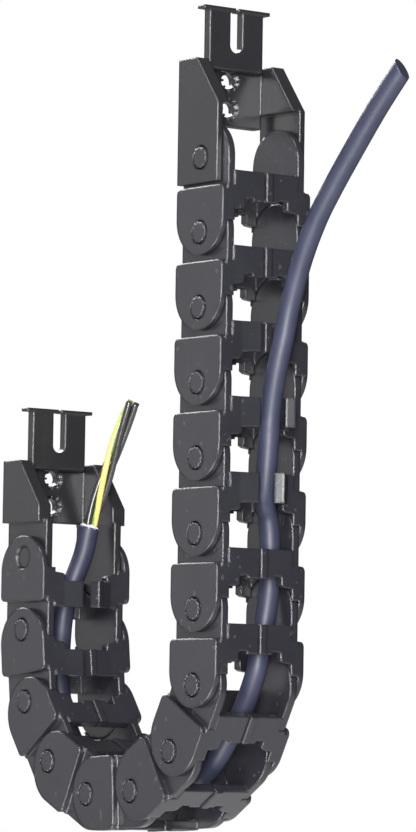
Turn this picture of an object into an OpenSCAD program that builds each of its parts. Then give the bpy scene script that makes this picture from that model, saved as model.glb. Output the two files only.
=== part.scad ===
/* [Chain] */
// Distance from one pin to the next along the chain
pitch = 25; // [24.5:0.1:25.5]
// Height of the link plates, from the inside of the bend to the outside
plate_height = 25; // [24.6:0.1:25.4]
// Width over the outer faces of the two link plates
chain_width = 37; // [36:0.5:42]
// Radius of the bend that the links' stops allow
bend_radius = 48; // [46:1:60]
// Thickness of the crossbars
bar_thickness = 3; // [2.4:0.1:3.2]

/* [Side walls] */
// Thickness of the outer plate that carries the pin hole
ear_thickness = 2.2; // [1.8:0.1:2.6]
// Thickness of the inner plate that carries the pin
tongue_thickness = 2.7; // [2.3:0.1:3]
// Gap between an outer plate and the inner plate that turns in it
side_gap = 0.3; // [0.2:0.05:0.5]
// Radius of the pin
pin_radius = 3.7; // [3.2:0.1:4]
// Radial play of a pin in its hole
pin_play = 0.07; // [0.03:0.01:0.1]

/* [Pose] */
// Turn between two links at each full joint of the bend
bend_step = 29; // [26:0.5:30]

/* [Brackets] */
// Height of a bracket's walls above its pin
bracket_height = 34; // [33:0.5:40]
// Distance between the two screw holes of a bracket
screw_spacing = 9.6; // [9:0.1:11]
// Distance from the middle of the screw holes to the top of the bracket
screw_drop = 10.3; // [9.5:0.1:11]
// Radius of the screw holes
screw_radius = 2.65; // [2:0.05:2.8]
// Thickness of the bracket's base plate
base_thickness = 4; // [3:0.25:4.5]
// Width of the strain relief comb
comb_width = 22.5; // [20:0.5:24]

/* [Cable] */
// Outer diameter of the cable's sheath
cable_diameter = 7; // [5:0.25:7]
// Outer diameter of each core
core_diameter = 2.2; // [1.6:0.1:2.2]

/* [Hidden] */
$fn = 64;
LINKS = 14;
LEFT = LINKS + 1;
CORES = 4;
overlap = 0.1;

half_width = chain_width / 2;
half_height = plate_height / 2;
ear_inside = half_width - ear_thickness;
tongue_outside = ear_inside - side_gap;
channel = tongue_outside - tongue_thickness;
stop_turn = 2 * asin(pitch / 2 / bend_radius);
first_bent = 7;
last_bent = 13;
last_turn = 180 - (last_bent - first_bent) * bend_step;

// Outlines in a link's own axes: x runs along it from its own pin, y across, z to the outside of the bend
plate_start = 9.8;
corner_radius = 2;
ear_centre = pitch - 5;
tongue_radius = half_height - 0.3;
pocket_radius = half_height + 0.2;
block_end = pitch - 3.5;

rim_radius = pin_radius + 0.4;
rim_depth = 0.8;
boss_height = 0.5;
boss_teeth = 12;
boss_radius = pin_radius - 0.1;
tooth_depth = 0.4;

// The lug on a plate runs in a slot in the pin's plate, which ends the bend
lug_radius = 9.2;
lug_size = 2;
lug_height = 0.8;
lug_angle = 164;
slot_depth = 1.3;
slot_width = lug_size + 0.6;
slot_play = 2.5;

// Crossbars: the outer one sits nearer the link's own pin than the inner one
outer_bar = [4.7, 14.6];
inner_bar = [8, 17];
root_width = 4.5;
root_length = 3;
root_taper = 1.2;
root_slope = 0.4;
notch = [3.5, 0.9];
split_at = -0.3;
split_width = 0.5;
split_depth = 1.2;
ridge_width = 2.8;
ridge_height = 0.5;
near_hinge = 9.3;
far_hinge = 10;
near_lap = 1.6;

// Bars that the cable pushed open: link, side (1 outer, -1 inner), turn of the near half, turn of the far half
open_bars = [[3, 1, 14, 2], [4, 1, 14, 62], [5, 1, 13, 43], [13, -1, 6, 9], [14, -1, 14, 28]];

// Bracket outlines, from its pin
screw_height = bracket_height - screw_drop;
wall_depth = 21.5;
wall_top_depth = 9.5;
slant_height = 16;
top_wall_end = -8.4;
left_wall_end = 12.2;
inner_wall_end = 18;
left_tongue_depth = 10.3;
rim_hole = 4;
rib_width = 0.7;
ribs = 8;
base_edge = 1.8;
base_end = screw_height - screw_spacing / 2 - rim_hole - base_edge;
lip_front = half_height - 4.2;
lip_height = 3;
comb_thickness = 3;
comb_height = 17.5;
comb_slot = 5.1;
comb_foot = 3.5;
head_thickness = 1.2;
head_lip = 0.4;
head_over = [2.6, 2];

cable_sides = 10;
core_sides = 8;
core_ring = 1.65;
core_twist = 150;

function turn_after(k) = k < first_bent || k > last_bent ? 0 : k < last_bent ? bend_step : last_turn;
function heading(k) = k <= 1 ? 90 : heading(k - 1) + turn_after(k - 1);
function along(k) = [cos(heading(k)), 0, -sin(heading(k))];
function outward(k) = [sin(heading(k)), 0, cos(heading(k))];
function pin_at(k) = k <= 0 ? [half_height, 0, -screw_height] : pin_at(k - 1) + pitch * along(k);
function in_link(p) = pin_at(p[0] - 1) + p[1] * along(p[0]) + [0, p[2], 0] + p[3] * outward(p[0]);

// Route of the cable from its cut sheath to its free end: link, distance from the link's pin, y, offset outward
cable_route = [
    [15, 11.5, 7, -4], [15, 2, 5, -3.5], [14, 17, 1.5, -2.5], [14, 7, -1, -1], [13, 19, -1, 1.5],
    [13, 6, -1, 3], [12, 12, -0.5, 4], [11, 12, 0.5, 4], [10, 12, 2, 3.5], [9, 12, 3.5, 2],
    [8, 12, 4, 2], [7, 22, 4.5, 4], [7, 13, 5.5, 5.5], [7, 3, 7.5, 5.5], [6, 18, 9, 5.5],
    [6, 5, 9.2, 5.5], [5, 20, 8.6, 5.3], [5, 14.5, 6.2, 6.4], [5, 8.5, 4.2, 8.8], [4, 21, 3.6, 10.8],
    [4, 9, 3.2, 12.3], [3, 21, 2.8, 15.6], [3, 9, 3.5, 18.5], [2, 24, 4, 20.8], [2, 9.5, 4, 26.8],
    [1, 22, 4, 34.2], [1, 12, 4, 42.3], [1, 0, 4, 53.3], [1, -12, 4, 64.8], [1, -22, 4, 75.5],
    [1, -25.6, 4, 79.5]
];

// Route of the bundle of cores from its tips down to the cut sheath
core_route = [[15, 54.5, 12, -21.5], [15, 43, 10.6, -16], [15, 32, 9.4, -11.5], [15, 21, 8.2, -7.2]];

link_colour = [0.25, 0.25, 0.27];
bracket_colour = [0.22, 0.22, 0.23];
sheath_colour = [0.33, 0.34, 0.42];
core_colours = [[0.12, 0.12, 0.13], [0.12, 0.12, 0.13], [0.12, 0.12, 0.13], [0.72, 0.78, 0.25]];

function two_digits(k) = k < 10 ? str("0", k) : str(k);
function link_name(k) = str("link_", two_digits(k));
function core_name(k) = k == CORES ? "core_green_yellow" : str("core_black_", k);

// Stands a link or bracket, drawn in its own axes, at its pin in the chain
module in_chain(k) {
    translate(pin_at(k - 1)) rotate([0, heading(k), 0]) children();
}

module both_sides() {
    children();
    mirror([0, 1, 0]) children();
}

// Extrudes an outline of the x-z plane from y = from to y = to
module slab(from, to) {
    translate([0, to, 0]) rotate([90, 0, 0]) linear_extrude(to - from) children();
}

module round_slab(radius, from, to) {
    translate([0, to, 0]) rotate([90, 0, 0]) cylinder(r = radius, h = to - from);
}

module box(low, high) {
    translate(low) cube(high - low);
}

module pin_hole() {
    round_slab(pin_radius + pin_play, ear_inside - 1, half_width + 1);
    round_slab(rim_radius, half_width - rim_depth, half_width + 1);
}

// Pin that stands on the inner plate, with a toothed end where it shows
module pin(shown) {
    round_slab(pin_radius, tongue_outside - overlap, half_width - rim_depth);
    if (shown)
        slab(half_width - rim_depth - overlap, half_width + boss_height)
            polygon([
                for (i = [0 : 4 * boss_teeth - 1])
                    let (r = i % 4 < 2 ? boss_radius : boss_radius - tooth_depth, a = 90 * i / boss_teeth)
                    r * [cos(a), sin(a)]
            ]);
}

// Part of a ring between two angles, measured from +x towards +z
module arc_slab(radius, width, angles, from, to) {
    reach = 2 * radius;
    intersection() {
        difference() {
            round_slab(radius + width / 2, from, to);
            round_slab(radius - width / 2, from - 1, to + 1);
        }
        slab(from - 1, to + 1)
            polygon([[0, 0], reach * [cos(angles[0]), sin(angles[0])], reach * [cos(angles[1]), sin(angles[1])]]);
    }
}

lug_span = lug_size / lug_radius * 90 / PI;
module stop_lug() {
    arc_slab(
        lug_radius, lug_size, [lug_angle - lug_span, lug_angle + lug_span],
        ear_inside - lug_height, ear_inside + overlap
    );
}

module stop_slot() {
    arc_slab(
        lug_radius, slot_width, [lug_angle - lug_span - slot_play, lug_angle + lug_span + stop_turn + slot_play],
        tongue_outside - slot_depth, tongue_outside + 1
    );
}

// Outer plate: square at the end over its own pin, round over the next link's pin
module ear_plate() {
    r = corner_radius;
    slab(ear_inside, half_width) {
        translate([plate_start + r, -half_height]) square([ear_centre - plate_start - r, plate_height]);
        translate([plate_start, r - half_height]) square([ear_centre - plate_start, plate_height - 2 * r]);
        for (z = [r - half_height, half_height - r]) translate([plate_start + r, z]) circle(r);
        intersection() {
            translate([ear_centre, 0]) circle(half_height);
            translate([ear_centre - 1, -half_height]) square([plate_height, plate_height]);
        }
    }
}

module link_wall() {
    difference() {
        union() {
            ear_plate();
            box([plate_start, channel, -half_height], [block_end, ear_inside + overlap, half_height]);
        }
        translate([pitch, 0, 0]) {
            round_slab(pocket_radius, channel - 1, ear_inside);
            pin_hole();
        }
    }
    difference() {
        union() {
            round_slab(tongue_radius, channel, tongue_outside);
            box([0, channel, -tongue_radius], [plate_start + 1, tongue_outside, tongue_radius]);
        }
        stop_slot();
    }
    pin(true);
    translate([pitch, 0, 0]) stop_lug();
}

// The wide root that joins a crossbar to one wall
module bar_root(end) {
    wall = channel + overlap;
    inside = channel - root_width;
    translate([0, 0, half_height - bar_thickness])
        linear_extrude(bar_thickness)
            polygon([
                [end - 1, wall], [end + root_length, wall], [end + root_length - root_slope, inside + root_taper],
                [end + root_length - root_taper, inside], [end - 1, inside]
            ]);
}

// Closed crossbar on the outside of the link, with the line where its two halves meet
module closed_bar(span) {
    low = half_height - bar_thickness;
    difference() {
        box([span[0], -channel - overlap, low], [span[1], channel + overlap, half_height]);
        for (z = [half_height - split_depth, low - split_width])
            box([span[0] - 1, split_at - split_width, z], [span[1] + 1, split_at, z + split_depth + split_width]);
        bar_notches(span[1]);
    }
    box([span[0], split_at, half_height - overlap], [span[1], split_at + ridge_width, half_height + ridge_height]);
    both_sides() bar_root(span[1]);
}

module bar_notches(end) {
    both_sides()
        box(
            [end - notch[1], channel - root_width - notch[0], half_height - bar_thickness - 1],
            [end + 1, channel - root_width, half_height + 1]
        );
}

// One half of an open crossbar: from the near wall straight to its hinge line, then turned outward
module bar_half(span, hinge, length, turn, ridge) {
    b = bar_thickness / 2;
    start = [-channel - overlap, half_height - b];
    bend = [-hinge, half_height - b];
    mitre = [-sin(turn), 1 + cos(turn)] / (1 + cos(turn));
    d = [cos(turn), sin(turn)];
    n = [-sin(turn), cos(turn)];
    tip = bend + length * d;
    translate([span[0], 0, 0])
        rotate([90, 0, 90])
            linear_extrude(span[1] - span[0])
                polygon([
                    start - [0, b], bend - b * mitre, tip - b * n, tip + (b + ridge) * n,
                    tip - ridge_width * d + (b + ridge) * n, tip - (ridge_width + ridge) * d + b * n,
                    bend + b * mitre, start + [0, b]
                ]);
}

module open_bar(span, turns) {
    bar_half(span, near_hinge, near_hinge + split_at - near_lap, turns[0], 0);
    mirror([0, 1, 0]) bar_half(span, far_hinge, far_hinge - split_at, turns[1], ridge_height);
    both_sides() bar_root(span[1]);
}

// The crossbar of link k on one side: open if the table says so
module crossbar(k, side) {
    span = side > 0 ? outer_bar : inner_bar;
    opened = [for (b = open_bars) if (b[0] == k && b[1] == side) [b[2], b[3]]];
    mirror([0, 0, side > 0 ? 0 : 1])
        if (len(opened) > 0) open_bar(span, opened[0]);
        else closed_bar(span);
}

module link(k) {
    color(link_colour) in_chain(k) {
        both_sides() link_wall();
        difference() {
            union() {
                crossbar(k, 1);
                crossbar(k, -1);
            }
            both_sides() translate([pitch, 0, 0]) round_slab(pocket_radius, channel, half_width);
        }
    }
}

// Side of a bracket wall: upright at the back, slanted at the top of the front
module wall_outline(bottom) {
    back = -half_height;
    polygon([
        [back, bottom], [back + wall_depth, bottom], [back + wall_depth, bracket_height - slant_height],
        [back + wall_top_depth, bracket_height], [back, bracket_height]
    ]);
}

// Screw hole through the base plate, with ribs in its wide mouth
module screw_hole() {
    mouth = rim_hole - screw_radius;
    front = base_thickness - mouth;
    translate([-half_height, 0, 0]) rotate([0, 90, 0]) {
        translate([0, 0, -1]) cylinder(r = screw_radius, h = base_thickness + 2);
        difference() {
            translate([0, 0, front]) cylinder(r1 = screw_radius, r2 = rim_hole, h = mouth);
            for (i = [0 : ribs - 1])
                rotate([0, 0, 360 / ribs * i])
                    box([screw_radius, -rib_width / 2, front - 1], [rim_hole + 1, rib_width / 2, base_thickness + 1]);
        }
        translate([0, 0, base_thickness - overlap / 2]) cylinder(r = rim_hole, h = 1);
    }
}

module base_plate() {
    back = -half_height;
    difference() {
        box([back, -channel - overlap, base_end], [back + base_thickness, channel + overlap, bracket_height]);
        for (side = [-1, 1])
            translate([0, 0, screw_height + side * screw_spacing / 2]) screw_hole();
    }
}

// Two-pronged comb that the cable is tied to, on a lip in front of the base plate
module comb() {
    back = -half_height;
    half = comb_width / 2;
    foot = bracket_height;
    top = foot + comb_height;
    inner = comb_slot / 2;
    r = comb_thickness / 2;
    difference() {
        union() {
            box([back, -half, foot - lip_height], [-lip_front + comb_thickness - r, half, foot + overlap]);
            translate([-lip_front + comb_thickness - r, half, foot - lip_height + r])
                rotate([90, 0, 0]) cylinder(r = r, h = comb_width);
            box([-lip_front, -half, foot - lip_height + r], [-lip_front + comb_thickness, half, top]);
        }
        translate([-lip_front - 1, 0, foot + comb_foot + inner]) {
            rotate([0, 90, 0]) cylinder(r = inner, h = comb_thickness + 2);
            translate([0, -inner, 0]) cube([comb_thickness + 2, comb_slot, comb_height]);
        }
    }
    both_sides()
        box(
            [-lip_front - head_lip, inner - head_over[1], top - overlap],
            [-lip_front + comb_thickness + head_lip, half + head_over[0], top + head_thickness - overlap]
        );
}

module bracket_top() {
    color(bracket_colour) translate(pin_at(0)) {
        both_sides() {
            difference() {
                slab(ear_inside, half_width) wall_outline(top_wall_end);
                pin_hole();
            }
            slab(channel, ear_inside + overlap) wall_outline(inner_wall_end);
            rotate([0, 90, 0]) stop_lug();
        }
        base_plate();
        comb();
    }
}

module bracket_left() {
    back = -half_height;
    color(bracket_colour) translate(pin_at(LINKS)) {
        both_sides() {
            slab(ear_inside - overlap, half_width) wall_outline(left_wall_end);
            slab(channel, ear_inside) wall_outline(left_wall_end);
            difference() {
                union() {
                    round_slab(tongue_radius, channel, tongue_outside);
                    box([back + side_gap, channel, 0], [left_tongue_depth, tongue_outside, left_wall_end + 1]);
                }
                box([left_tongue_depth, channel - 1, -plate_height], [plate_height, half_width, left_wall_end]);
                rotate([0, 270, 0]) stop_slot();
            }
            pin(false);
        }
        base_plate();
        comb();
    }
}

// Smooth curve through the points of a route, with steps rings from each point to the next
function curve(p, steps) = [
    for (i = [0 : len(p) - 2], j = [0 : steps - 1])
        let (
            u = j / steps, a = p[max(i - 1, 0)], b = p[i], c = p[i + 1], d = p[min(i + 2, len(p) - 1)]
        )
        b + u * (c - a) / 2 + u * u * (a - 2.5 * b + 2 * c - d / 2) + u * u * u * (3 * (b - c) + d - a) / 2,
    p[len(p) - 1]
];
function unit(v) = v / norm(v);
function heading_of(p, i) = unit(p[min(i + 1, len(p) - 1)] - p[max(i - 1, 0)]);

// The whole line of the cable: tips of the cores, cut of the sheath, free end
steps = 2;
line = curve([for (p = concat(core_route, cable_route)) in_link(p)], steps);
sheath_cut = steps * len(core_route);

// A point in the plane across the line at its ring i
function across(i, radius, angle) =
    let (t = heading_of(line, i), u = unit(cross([0, 1, 0], t)), v = cross(t, u))
    radius * (cos(angle) * u + sin(angle) * v);

// Centre of core k at ring i: set off to one side of the line and turning round it
function core_centre(k, i) = line[i] + across(i, core_ring, 90 * k + core_twist * i / sheath_cut);

// A tube whose ring i is centred on centres[i] and lies across the line at ring first + i
module tube(centres, first, radius, sides) {
    rings = len(centres);
    vertices = [
        for (i = [0 : rings - 1], j = [0 : sides - 1])
            centres[i] + across(first + i, radius, 360 / sides * j)
    ];
    walls = [
        for (i = [0 : rings - 2], j = [0 : sides - 1])
            let (k = (j + 1) % sides)
            [i * sides + j, i * sides + k, (i + 1) * sides + k, (i + 1) * sides + j]
    ];
    start = [for (j = [sides - 1 : -1 : 0]) j];
    end = [for (j = [0 : sides - 1]) (rings - 1) * sides + j];
    polyhedron(vertices, concat(walls, [start], [end]), convexity = 10);
}

module cable_sheath() {
    color(sheath_colour)
        tube([for (i = [sheath_cut : len(line) - 1]) line[i]], sheath_cut, cable_diameter / 2, cable_sides);
}

module core(k) {
    color(core_colours[k - 1])
        tube([for (i = [0 : sheath_cut]) core_centre(k, i)], 0, core_diameter / 2, core_sides);
}

bracket_top();
for (k = [1 : LINKS]) link(k);
bracket_left();
cable_sheath();
for (k = [1 : CORES]) core(k);
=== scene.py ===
import math

import bmesh
import bpy
from mathutils import Matrix, Vector


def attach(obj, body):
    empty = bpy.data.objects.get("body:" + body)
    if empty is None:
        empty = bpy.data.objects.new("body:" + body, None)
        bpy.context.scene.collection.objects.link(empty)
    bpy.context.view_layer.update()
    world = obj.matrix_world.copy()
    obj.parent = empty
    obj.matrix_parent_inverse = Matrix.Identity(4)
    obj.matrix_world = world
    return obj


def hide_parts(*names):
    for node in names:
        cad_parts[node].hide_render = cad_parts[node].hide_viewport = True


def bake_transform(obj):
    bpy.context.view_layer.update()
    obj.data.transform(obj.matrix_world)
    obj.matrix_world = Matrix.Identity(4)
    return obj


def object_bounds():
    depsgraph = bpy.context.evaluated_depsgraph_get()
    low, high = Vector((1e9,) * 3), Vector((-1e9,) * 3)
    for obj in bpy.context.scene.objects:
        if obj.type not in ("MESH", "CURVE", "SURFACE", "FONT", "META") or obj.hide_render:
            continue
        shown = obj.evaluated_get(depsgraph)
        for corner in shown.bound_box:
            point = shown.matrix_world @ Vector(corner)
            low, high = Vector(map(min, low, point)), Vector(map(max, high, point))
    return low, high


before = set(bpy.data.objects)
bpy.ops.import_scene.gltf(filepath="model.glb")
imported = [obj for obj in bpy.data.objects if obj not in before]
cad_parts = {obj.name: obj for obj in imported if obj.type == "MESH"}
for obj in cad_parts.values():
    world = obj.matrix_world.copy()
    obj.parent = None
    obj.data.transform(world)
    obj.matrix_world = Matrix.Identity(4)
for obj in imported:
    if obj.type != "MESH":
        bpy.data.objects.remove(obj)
cad_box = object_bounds()
bpy.context.scene.view_settings.view_transform = "Standard"


# Camera: a long lens from the right of the near plates and a little below the middle of the chain,
# so that the walls, the crossbars and the open hollows of the links all show.
AIM = Vector((-0.01245, 0.0056, -0.1071))
CAMERA_SIDE = Vector((0.7908, -0.6071, -0.0779)).normalized()
CAMERA_DISTANCE = 1.61
CAMERA_ROLL = math.radians(0.91)
SENSOR = 36.0
LENS = 206.1

camera = bpy.data.objects.new("camera", bpy.data.cameras.new("camera"))
bpy.context.scene.collection.objects.link(camera)
camera.data.sensor_width = SENSOR
camera.data.lens = LENS
camera.data.clip_start, camera.data.clip_end = 0.05, 20.0
level_right = Vector((0, 0, 1)).cross(CAMERA_SIDE).normalized()
level_up = CAMERA_SIDE.cross(level_right)
right = level_right * math.cos(CAMERA_ROLL) + level_up * math.sin(CAMERA_ROLL)
upward = CAMERA_SIDE.cross(right)
camera.matrix_world = Matrix.Translation(AIM + CAMERA_SIDE * CAMERA_DISTANCE) @ Matrix(
    (right, upward, CAMERA_SIDE)
).transposed().to_4x4()
bpy.context.scene.camera = camera


# Cable route: the line of the cable through the hanging chain, from the tips of its cores to its free end.
# Each row gives the link, the distance along it from its own pin, y, and the offset outward, in millimetres.
MM = 0.001
PITCH = 25
FIRST_PIN = Vector((12.5, 0, -23.7))
FIRST_BENT, LAST_BENT = 7, 13
BEND_STEP = 29
LEFT = 15
CORE_ROUTE = [
    (LEFT, 54.5, 12, -21.5), (LEFT, 43, 10.6, -16), (LEFT, 32, 9.4, -11.5), (LEFT, 21, 8.2, -7.2),
]
CABLE_ROUTE = [
    (LEFT, 11.5, 7, -4), (LEFT, 2, 5, -3.5), (14, 17, 1.5, -2.5), (14, 7, -1, -1), (13, 19, -1, 1.5),
    (13, 6, -1, 3), (12, 12, -0.5, 4), (11, 12, 0.5, 4), (10, 12, 2, 3.5), (9, 12, 3.5, 2),
    (8, 12, 4, 2), (7, 22, 4.5, 4), (7, 13, 5.5, 5.5), (7, 3, 7.5, 5.5), (6, 18, 9, 5.5),
    (6, 5, 9.2, 5.5), (5, 20, 8.6, 5.3), (5, 14.5, 6.2, 6.4), (5, 8.5, 4.2, 8.8), (4, 21, 3.6, 10.8),
    (4, 9, 3.2, 12.3), (3, 21, 2.8, 15.6), (3, 9, 3.5, 18.5), (2, 24, 4, 20.8), (2, 9.5, 4, 26.8),
    (1, 22, 4, 34.2), (1, 12, 4, 42.3), (1, 0, 4, 53.3), (1, -12, 4, 64.8), (1, -22, 4, 75.5),
    (1, -25.6, 4, 79.5),
]
STEPS = 12


def heading(k):
    turn = 90
    for bent in range(FIRST_BENT, min(k, LAST_BENT + 1)):
        turn += BEND_STEP if bent < LAST_BENT else 180 - (LAST_BENT - FIRST_BENT) * BEND_STEP
    return math.radians(turn)


def along(k):
    return Vector((math.cos(heading(k)), 0, -math.sin(heading(k))))


def outward(k):
    return Vector((math.sin(heading(k)), 0, math.cos(heading(k))))


def pin_at(k):
    return FIRST_PIN + sum((PITCH * along(i) for i in range(1, k + 1)), Vector((0, 0, 0)))


def in_link(k, s, y, t):
    return (pin_at(k - 1) + s * along(k) + Vector((0, y, 0)) + t * outward(k)) * MM


def smooth_line(points):
    line = []
    for i in range(len(points) - 1):
        a, b, c, d = (points[min(max(i + n, 0), len(points) - 1)] for n in (-1, 0, 1, 2))
        for j in range(STEPS):
            u = j / STEPS
            line.append(
                b + u * (c - a) / 2 + u * u * (a - 2.5 * b + 2 * c - d / 2) + u**3 * (3 * (b - c) + d - a) / 2
            )
    return line + [points[-1]]


line = smooth_line([in_link(*row) for row in CORE_ROUTE + CABLE_ROUTE])
headings = [
    (line[min(i + 1, len(line) - 1)] - line[max(i - 1, 0)]).normalized() for i in range(len(line))
]


def ring(i, radius, angle):
    u = Vector((0, 1, 0)).cross(headings[i]).normalized()
    return radius * (math.cos(angle) * u + math.sin(angle) * headings[i].cross(u))


def tube(name, first, centres, radius, sides, caps):
    """A round tube whose ring i lies across the cable's line at its point first + i."""
    bm = bmesh.new()
    rings = [
        [bm.verts.new(c + ring(first + i, radius, 2 * math.pi * j / sides)) for j in range(sides)]
        for i, c in enumerate(centres)
    ]
    for a, b in zip(rings, rings[1:]):
        for j in range(sides):
            bm.faces.new((a[j], a[(j + 1) % sides], b[(j + 1) % sides], b[j])).smooth = True
    if caps[0]:
        bm.faces.new(rings[0][::-1])
    if caps[1]:
        bm.faces.new(rings[-1])
    return placed(name, bm)


def placed(name, bm):
    bmesh.ops.recalc_face_normals(bm, faces=bm.faces)
    mesh = bpy.data.meshes.new(name)
    bm.to_mesh(mesh)
    bm.free()
    piece = bpy.data.objects.new(name, mesh)
    bpy.context.scene.collection.objects.link(piece)
    return piece


# Sheath: an extruded round jacket of soft slate-blue plastic, 7 mm across, that fills with the cores.
# It follows the bends of the hanging chain, and each stretch from the middle of one link to the next is a
# piece.
SHEATH_DIAMETER = 0.007
SHEATH_SIDES = 32
SHEATH_CUT = STEPS * len(CORE_ROUTE)
LEAVES_AT = 4
END_SLANT = 0.75
HOLD = 7
CABLE_MIDDLE = (4, 3)
TIP_MERGE = 0.0002
EDGE_SAMPLES = 6


class Wire:
    """An output of a shader node, with arithmetic on its values."""

    def __init__(self, tree, socket=None):
        self.tree, self.socket = tree, socket

    def node(self, kind, settings, sockets, output=0):
        made = self.tree.nodes.new(kind)
        for key, value in settings.items():
            if key == "stops":
                ramp = made.color_ramp
                while len(ramp.elements) < len(value):
                    ramp.elements.new(1.0)
                for stop, (place, colour) in zip(ramp.elements, value):
                    stop.position, stop.color = place, (*colour, 1)
            else:
                setattr(made, key, value)
        for key, value in sockets.items():
            if isinstance(value, Wire):
                self.tree.links.new(value.socket, made.inputs[key])
            else:
                made.inputs[key].default_value = value
        return Wire(self.tree, made.outputs[output]) if made.outputs else None

    def math(self, operation, a, b):
        return self.node("ShaderNodeMath", {"operation": operation}, {0: a, 1: b})

    def __add__(self, other):
        return self.math("ADD", self, other)

    __radd__ = __add__

    def __mul__(self, other):
        return self.math("MULTIPLY", self, other)

    __rmul__ = __mul__


def new_material(name):
    material = bpy.data.materials.new(name)
    material.use_nodes = True
    material.node_tree.nodes.clear()
    return material, Wire(material.node_tree)


def noise(wire, scale, detail):
    place = wire.node("ShaderNodeTexCoord", {}, {}, "Object")
    return wire.node("ShaderNodeTexNoise", {}, {"Vector": place, "Scale": scale, "Detail": detail}, "Fac")


def mix(wire, factor, a, b):
    return wire.node(
        "ShaderNodeMix", {"data_type": "RGBA"}, {"Factor": factor, 6: (*a, 1), 7: (*b, 1)}, 2
    )


def surface(wire, settings, colour, roughness, height, depth, edge=0):
    """Ends a material in one glossy shader, with bump of the given depth and round edges, in metres."""
    sockets = {"Strength": 1.0, "Distance": depth, "Height": height}
    if edge:
        sockets["Normal"] = wire.node("ShaderNodeBevel", {"samples": EDGE_SAMPLES}, {"Radius": edge})
    bump = wire.node("ShaderNodeBump", {}, sockets)
    shader = wire.node(
        "ShaderNodeBsdfPrincipled", {},
        {"Base Color": colour, "Roughness": roughness, "Normal": bump, **settings},
    )
    wire.node("ShaderNodeOutputMaterial", {}, {"Surface": shader})


sheath_material, wire = new_material("sheath")
mottle = noise(wire, 90, 4)
streaks = noise(wire, 260, 3)
surface(
    wire, {"Specular IOR Level": 0.28},
    mix(wire, mottle, (0.007, 0.008, 0.017), (0.018, 0.020, 0.036)),
    0.42 + 0.16 * streaks, streaks, 0.00008,
)


def body_name(k):
    return "bracket_left" if k == LEFT else f"link_{k:02d}"


def line_index(k, s):
    """The point of the cable's line that is nearest to distance s along link k, seen along the chain."""
    target = in_link(k, s, *CABLE_MIDDLE)
    return min(range(SHEATH_CUT, len(line)), key=lambda i: (line[i] - target).length)


seams = [SHEATH_CUT] + [line_index(k, PITCH / 2) for k in range(LEFT - 1, LEAVES_AT - 1, -1)]
for k, (first, last) in zip(range(LEFT, LEAVES_AT, -1), zip(seams, seams[1:])):
    stretch = tube(
        f"cable_sheath_{k:02d}", first, line[first : last + 1], SHEATH_DIAMETER / 2, SHEATH_SIDES,
        (k == LEFT, False),
    )
    stretch.data.materials.append(sheath_material)
    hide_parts("cable_sheath")
    line[line_index(k, HOLD)]
    line[line_index(k - 1, PITCH - HOLD)]
    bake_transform(stretch)

free_line = line[seams[-1] :]
free_end = tube("cable_free_end", seams[-1], free_line, SHEATH_DIAMETER / 2, SHEATH_SIDES, (False, True))
free_end.data.materials.append(sheath_material)
cut_tip = line[-1] - right * SHEATH_DIAMETER / 2
cut_normal = headings[-1] + right * END_SLANT
bm = bmesh.new()
bm.from_mesh(free_end.data)
for vertex in bm.verts:
    beyond = max(0, (vertex.co - cut_tip).dot(cut_normal)) / headings[-1].dot(cut_normal)
    vertex.co -= headings[-1] * beyond
bmesh.ops.remove_doubles(bm, verts=bm.verts, dist=TIP_MERGE)
bm.to_mesh(free_end.data)
bm.free()
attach(free_end, body_name(LEAVES_AT))
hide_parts("cable_sheath")
sum((b - a).length for a, b in zip(free_line, free_line[1:]))


# Cores: four thin insulated conductors that stand twisted out of the cut sheath, three of them glossy
# black and one with the green and yellow of an earth lead, whose yellow stripe winds round it.
CORE_DIAMETER = 0.0022
CORE_SIDES = 16
CORE_RING = 0.00165
CORE_TWIST = math.radians(-210)
STRIPE_LAY, STRIPE_START = 4, 3
CORE_NODES = ["core_black_1", "core_black_2", "core_black_3", "core_green_yellow"]

black_core, wire = new_material("core_black")
grain = noise(wire, 700, 2)
surface(
    wire, {"Coat Weight": 0.15, "Coat Roughness": 0.12},
    mix(wire, grain, (0.009, 0.008, 0.009), (0.020, 0.018, 0.020)), 0.22 + 0.14 * grain, grain, 0.00003,
)
earth_colours = {
    "core_green": ((0.09, 0.125, 0.03), (0.13, 0.17, 0.045)),
    "core_yellow": ((0.26, 0.22, 0.045), (0.33, 0.28, 0.06)),
}
earth_materials = []
for name, (dark, light) in earth_colours.items():
    material, wire = new_material(name)
    grain = noise(wire, 500, 2)
    surface(
        wire, {"Coat Weight": 0.25, "Coat Roughness": 0.15}, mix(wire, grain, dark, light),
        0.28 + 0.14 * grain, grain, 0.00003,
    )
    earth_materials.append(material)

for k, node in enumerate(CORE_NODES, 1):
    centres = [
        line[i] + ring(i, CORE_RING, math.radians(360 / len(CORE_NODES) * k) + CORE_TWIST * i / SHEATH_CUT)
        for i in range(SHEATH_CUT + 1)
    ]
    core = tube(node + "_lead", 0, centres, CORE_DIAMETER / 2, CORE_SIDES, (True, False))
    if node == "core_green_yellow":
        for material in earth_materials:
            core.data.materials.append(material)
        for face in core.data.polygons:
            i, j = divmod(face.index, CORE_SIDES)
            face.material_index = ((j + round(i / STRIPE_LAY) + STRIPE_START) % CORE_SIDES) < CORE_SIDES // 2
    else:
        core.data.materials.append(black_core)
    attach(core, "bracket_left")
    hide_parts(node)
    sum((b - a).length for a, b in zip(centres, centres[1:]))


# Filler: the pale twisted filling of the cable, which stands a little out of the cut sheath between the
# roots of the cores.
FILLER_RINGS = ((0.00345, -0.0004), (0.0031, 0.0002), (0.0026, 0.0007), (0.0016, 0.0010), (0.0002, 0.0011))
FILLER_SIDES = 36
FILLER_LOBES = 9
FILLER_FLUTE = 0.05

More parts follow.
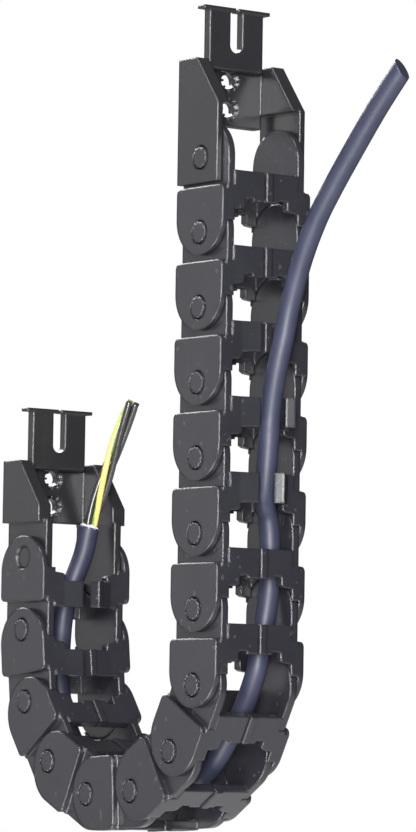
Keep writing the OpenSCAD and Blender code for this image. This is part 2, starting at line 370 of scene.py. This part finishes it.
bm = bmesh.new()
shells = [
    [
        bm.verts.new(
            line[SHEATH_CUT] - headings[SHEATH_CUT] * rise
            + ring(SHEATH_CUT, radius * (1 - FILLER_FLUTE * math.cos(FILLER_LOBES * turn)), turn)
        )
        for turn in (2 * math.pi * j / FILLER_SIDES for j in range(FILLER_SIDES))
    ]
    for radius, rise in FILLER_RINGS
]
for a, b in zip(shells, shells[1:]):
    for j in range(FILLER_SIDES):
        bm.faces.new((a[j], b[j], b[(j + 1) % FILLER_SIDES], a[(j + 1) % FILLER_SIDES])).smooth = True
bm.faces.new(shells[-1])
bm.faces.new(shells[0])
filler = placed("cable_filler", bm)
pale_filling, wire = new_material("pale_filling")
fibre = noise(wire, 900, 3)
surface(wire, {}, mix(wire, fibre, (0.20, 0.20, 0.26), (0.46, 0.46, 0.52)), 0.5 + 0.2 * fibre, fibre, 0.0002)
filler.data.materials.append(pale_filling)
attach(filler, "bracket_left")


# Links: fourteen alike, each moulded in one piece from black glass-filled nylon, with satin plates.
# Every edge of the mould is a little round, which the shading alone shows: the solids keep their meshes.
LINKS = 14
ROUNDING = 0.0011

link_plastic, wire = new_material("satin_nylon")
cloud = noise(wire, 45, 5)
grain = noise(wire, 2200, 3)
specks = wire.node(
    "ShaderNodeValToRGB", {"stops": [(0.70, (0, 0, 0)), (0.76, (1, 1, 1))]}, {"Fac": noise(wire, 420, 1)}
)
flow = mix(wire, cloud, (0.0065, 0.0065, 0.0085), (0.012, 0.012, 0.015))
colour = wire.node(
    "ShaderNodeMix", {"data_type": "RGBA"}, {"Factor": 0.35 * specks, 6: flow, 7: (0.045, 0.045, 0.05, 1)}, 2
)
surface(wire, {}, colour, 0.20 + 0.12 * cloud, grain, 0.00003, edge=ROUNDING)


def dress_solid(node, material):
    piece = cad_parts[node]
    piece.data.materials.clear()
    piece.data.materials.append(material)


for k in range(1, LINKS + 1):
    dress_solid(f"link_{k:02d}", link_plastic)


# Brackets: the two mounting ends of the same nylon, a shade darker, with a screwed base plate and the
# two-pronged comb that a cable is tied to.
bracket_plastic, wire = new_material("dark_nylon")
cloud = noise(wire, 40, 5)
grain = noise(wire, 1900, 3)
surface(
    wire, {}, mix(wire, cloud, (0.0055, 0.0055, 0.0065), (0.0105, 0.0105, 0.012)),
    0.20 + 0.12 * cloud, grain, 0.00003, edge=ROUNDING,
)
for node in ("bracket_top", "bracket_left"):
    dress_solid(node, bracket_plastic)


# Floor: a plain pale sheet far enough below the hanging chain to stay clear of it.
FLOOR_DROP = 0.95
FLOOR_SIZE = 6.0
FLOOR_GLOW = 0.92

floor_mesh = bpy.data.meshes.new("floor")
half = FLOOR_SIZE / 2
height = cad_box[0].z - FLOOR_DROP
floor_mesh.from_pydata(
    [(-half, -half, height), (half, -half, height), (half, half, height), (-half, half, height)],
    [], [(0, 1, 2, 3)],
)
floor = bpy.data.objects.new("floor", floor_mesh)
bpy.context.scene.collection.objects.link(floor)
pale, wire = new_material("pale_floor")
path = [wire.node("ShaderNodeLightPath", {}, {}, ray) for ray in ("Is Camera Ray", "Is Glossy Ray")]
seen = wire.node("ShaderNodeMath", {"operation": "MAXIMUM"}, {0: path[0], 1: path[1]})
matt = wire.node("ShaderNodeBsdfDiffuse", {}, {"Color": (0.85, 0.85, 0.85, 1)})
white = wire.node("ShaderNodeEmission", {}, {"Color": (1, 1, 1, 1), "Strength": 1.0})
shown = wire.node("ShaderNodeMixShader", {}, {0: FLOOR_GLOW * seen, 1: matt, 2: white})
wire.node("ShaderNodeOutputMaterial", {}, {"Surface": shown})
floor_mesh.materials.append(pale)


# Light: a white studio, dim all round, with a tall narrow lamp by the camera whose reflection runs along
# the round edges, a soft one for the near plates, and three that catch the edges above and below.
WORLD_LEVEL = 0.09

world = bpy.data.worlds.new("studio")
bpy.context.scene.world = world
world.use_nodes = True
world.node_tree.nodes.clear()
wire = Wire(world.node_tree)
path = wire.node("ShaderNodeLightPath", {}, {}, "Is Camera Ray")
level = WORLD_LEVEL + (1 - WORLD_LEVEL) * path
back = wire.node("ShaderNodeBackground", {}, {"Color": (1, 1, 1, 1), "Strength": level})
wire.node("ShaderNodeOutputWorld", {}, {"Surface": back})


def lamp(name, side, distance, width, height, power):
    light = bpy.data.lights.new(name, "AREA")
    light.shape, light.size, light.size_y, light.energy = "RECTANGLE", width, height, power
    holder = bpy.data.objects.new(name, light)
    bpy.context.scene.collection.objects.link(holder)
    holder.visible_camera = False
    holder.location = AIM + Vector(side).normalized() * distance
    holder.rotation_euler = Vector(side).to_track_quat("Z", "Y").to_euler()


lamp("front", (0.76, -0.62, 0.10), 1.6, 0.30, 1.6, 125)
lamp("left", (-0.75, -0.62, 0.15), 1.3, 0.8, 0.8, 1.8)
lamp("top", (0.35, -0.35, 1.0), 1.2, 0.5, 0.5, 12)
lamp("rim", (-0.79, 0.05, 0.61), 1.3, 0.6, 0.6, 26)
lamp("under", (0.15, -0.60, -0.78), 0.8, 0.4, 0.4, 9)
